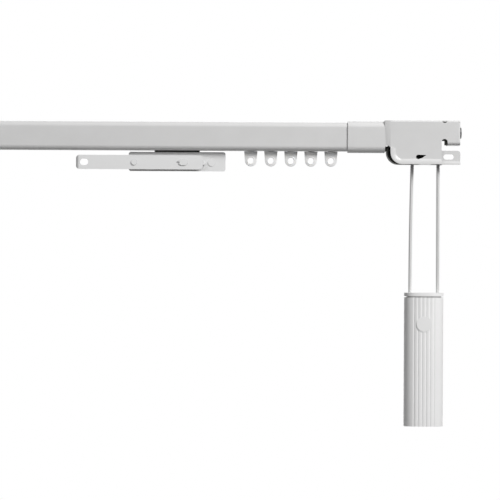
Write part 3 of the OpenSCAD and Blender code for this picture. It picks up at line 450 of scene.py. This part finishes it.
def make_nylon():
    """Moulded nylon: white, slightly translucent, with a fine mould texture."""
    material = new_material("white_nylon", grey(0.9), roughness=0.38, Subsurface_Weight=0.1,
        Subsurface_Scale=0.8 * MM, Subsurface_Radius=(1.0, 0.9, 0.8), Coat_Weight=0.1)
    vary(material, "Base Color", noise(material, scale=120), grey(0.89, 0.004),
        grey(0.92, 0.002))
    add_bump(material, noise(material, scale=1800), strength=0.08, distance=0.04 * MM)
    return material


def make_dark_plastic_and_shade():
    """Near-black moulded plastic with a faint matt grain; it also stands in for the deep
    shade inside the end cases and at the master carriers' necks under the track.
    """
    material = new_material("dark_plastic", (0.015, 0.016, 0.012), roughness=0.55)
    vary(material, "Base Color", noise(material, scale=260, detail=3), (0.012, 0.013, 0.01),
        (0.02, 0.022, 0.016))
    add_bump(material, noise(material, scale=2200, detail=3), strength=0.2,
        distance=0.05 * MM)
    return material


def make_weight_plastic():
    """Satin white plastic of the cord weight."""
    material = new_material("weight_plastic", grey(0.88), roughness=0.42)
    vary(material, "Base Color", noise(material, scale=45, detail=3), grey(0.87, 0.003),
        grey(0.89, 0.002))
    vary(material, "Roughness", noise(material, scale=160, detail=4), grey(0.36), grey(0.5))
    add_bump(material, noise(material, scale=1500, detail=3), strength=0.1,
        distance=0.04 * MM)
    return material


def make_braid():
    """Braided cord: matt yarn with fine fibres, with painted shade that makes it near black
    down between the yarns.
    """
    material = new_material("braided_cord", grey(0.80), roughness=0.85, Sheen_Weight=0.25,
        Sheen_Roughness=0.5)
    height = material.node_tree.nodes.new("ShaderNodeAttribute")
    height.attribute_name = YARN_HEIGHT
    # Painted shade: the yarns' height sets the colour, near black in the valleys between them
    vary(material, "Base Color", height.outputs["Fac"], grey(0.06, 0.003), grey(0.86, 0.003))
    add_bump(material, noise(material, scale=5000, detail=4), strength=0.35,
        distance=0.08 * MM)
    return material


def make_dark_steel():
    """Blackened zinc of the bracket screws and nuts."""
    material = new_material("blackened_steel", grey(0.1), roughness=0.45, Metallic=1.0)
    vary(material, "Base Color", noise(material, scale=500, detail=4), grey(0.09), grey(0.14))
    add_bump(material, noise(material, scale=2600, detail=3), strength=0.15,
        distance=0.05 * MM)
    return material


def make_iron():
    """Rough cast iron."""
    material = new_material("ballast_iron", grey(0.2), roughness=0.6, Metallic=1.0)
    vary(material, "Base Color", noise(material, scale=300, detail=5), grey(0.16), grey(0.26))
    add_bump(material, noise(material, scale=900, detail=5), strength=0.5, distance=0.2 * MM)
    return material


MATERIALS = {
    "white_enamel": make_white_enamel(),
    "zinc_plate": make_zinc(),
    "white_nylon": make_nylon(),
    "dark_plastic": make_dark_plastic_and_shade(),
    "weight_plastic": make_weight_plastic(),
    "braided_cord": make_braid(),
    "ballast_iron": make_iron(),
}
SLOT_OF = {s["node"]: s["material_slot"] for s in frame["record"]["subparts"]}
BRIGHT_ENAMEL = make_bright_enamel()
BRIGHT = ("master_plate_right", "master_plate_left", "overlap_arm", "underlap_arm",
    "master_rivets_right", "master_rivets_left")
DARK_STEEL = make_dark_steel()


# CAD nodes that are shown as they are, with softened edges; edge widths are in mm

EDGE_WIDTH = {"white_enamel": 0.2, "zinc_plate": 0.15, "white_nylon": 0.25,
    "dark_plastic": 0.2, "weight_plastic": 0.3, "braided_cord": 0, "ballast_iron": 0.6}
EDGE_SEGMENTS = 2
SHARP = math.radians(35)
WELD_DISTANCE = 0.001 * MM
NORMAL_WEIGHT = 100


def own_material(name, slot):
    """A node's finish: a few enamelled or blackened pieces differ from their slot."""
    if name in BRIGHT:
        return BRIGHT_ENAMEL
    if "screw_" in name or "_nut" in name:
        return DARK_STEEL
    return MATERIALS[slot]


def set_material(obj, material):
    obj.data.materials.clear()
    obj.data.materials.append(material)


def even_normals(obj, keep_sharp):
    """Shades an object's large faces flat, so that only its rounded edges bend."""
    normals = obj.modifiers.new("normals", "WEIGHTED_NORMAL")
    normals.weight = NORMAL_WEIGHT
    normals.keep_sharp = keep_sharp


def soften(obj, width):
    """Welds the mesh and rounds its sharp edges a little, as paint and plating do."""
    obj.data.shade_smooth()
    weld = obj.modifiers.new("weld", "WELD")
    weld.merge_threshold = WELD_DISTANCE
    bevel = obj.modifiers.new("bevel", "BEVEL")
    bevel.width = width
    bevel.segments = EDGE_SEGMENTS
    bevel.limit_method = "ANGLE"
    bevel.angle_limit = SHARP
    even_normals(obj, keep_sharp=True)


for name, obj in nodes.items():
    slot = SLOT_OF[name]
    set_material(obj, own_material(name, slot))
    if EDGE_WIDTH[slot]:
        soften(obj, EDGE_WIDTH[slot] * MM)

for piece in cords:
    set_material(piece, MATERIALS["braided_cord"])
for piece in slides:
    set_material(piece, MATERIALS["white_nylon"])
    even_normals(piece, keep_sharp=False)


# Stage: a plain pale floor, a white room and soft lights

FLOOR_X = -0.5
FLOOR_Z = -1.8
FLOOR_RADIUS = 2.2
FLOOR_SIDES = 96
# Reflected rays see white where the Y of their direction is more than this
BEHIND = 0.6
LIGHT_AIM = Vector((-0.15, -0.08, -0.05))


def add_floor():
    mesh = bpy.data.meshes.new("floor")
    angles = [2 * math.pi * i / FLOOR_SIDES for i in range(FLOOR_SIDES)]
    rim = [(FLOOR_X + FLOOR_RADIUS * math.cos(a), FLOOR_RADIUS * math.sin(a), FLOOR_Z)
        for a in angles]
    mesh.from_pydata(rim, [], [list(range(FLOOR_SIDES))])
    floor = bpy.data.objects.new("floor", mesh)
    bpy.context.scene.collection.objects.link(floor)
    set_material(floor, new_material("floor_paint", grey(0.8), roughness=0.7))


def maths(tree, operation, first, second):
    """Output of a Math node whose second input is a number or a socket."""
    node = tree.nodes.new("ShaderNodeMath")
    node.operation = operation
    tree.links.new(first, node.inputs[0])
    if isinstance(second, float):
        node.inputs[1].default_value = second
    else:
        tree.links.new(second, node.inputs[1])
    return node.outputs["Value"]


def add_world(top, level, bottom):
    """White behind the object, seen directly and in reflections, and elsewhere light that
    falls off from above to below."""
    world = bpy.data.worlds.new("room")
    bpy.context.scene.world = world
    world.use_nodes = True
    tree = world.node_tree
    coords = tree.nodes.new("ShaderNodeTexCoord")
    split = tree.nodes.new("ShaderNodeSeparateXYZ")
    span = tree.nodes.new("ShaderNodeMapRange")
    span.inputs["From Min"].default_value = -1
    ramp = tree.nodes.new("ShaderNodeValToRGB")
    ramp.color_ramp.elements[0].color = (*grey(bottom), 1)
    ramp.color_ramp.elements[1].color = (*grey(top), 1)
    middle = ramp.color_ramp.elements.new(0.5)
    middle.color = (*grey(level), 1)
    tree.links.new(coords.outputs["Generated"], split.inputs["Vector"])
    tree.links.new(split.outputs["Z"], span.inputs["Value"])
    tree.links.new(span.outputs["Result"], ramp.inputs["Fac"])
    path = tree.nodes.new("ShaderNodeLightPath")
    behind = maths(tree, "GREATER_THAN", split.outputs["Y"], BEHIND)
    mirrored = maths(tree, "MULTIPLY", behind, path.outputs["Is Glossy Ray"])
    seen = maths(tree, "MAXIMUM", mirrored, path.outputs["Is Camera Ray"])
    mix = tree.nodes.new("ShaderNodeMix")
    mix.data_type = "RGBA"
    mix.inputs["B"].default_value = (1, 1, 1, 1)
    tree.links.new(seen, mix.inputs["Factor"])
    tree.links.new(ramp.outputs["Color"], mix.inputs["A"])
    tree.links.new(mix.outputs["Result"], tree.nodes["Background"].inputs["Color"])


def add_area(name, place, size, power):
    """A rectangular light that faces the object."""
    light = bpy.data.lights.new(name, "AREA")
    light.shape = "RECTANGLE"
    light.size, light.size_y = size
    light.energy = power
    obj = bpy.data.objects.new(name, light)
    bpy.context.scene.collection.objects.link(obj)
    obj.location = place
    obj.rotation_euler = (LIGHT_AIM - Vector(place)).to_track_quat("-Z", "Y").to_euler()


bpy.context.scene.view_settings.view_transform = "Standard"
add_floor()
add_world(top=0.20, level=0.10, bottom=0.02)
add_area("key", place=(1.12, -1.4, 1.38), size=(1.0, 0.9), power=58)
add_area("fill", place=(-1.4, -1.8, 0.5), size=(1.0, 1.0), power=7)
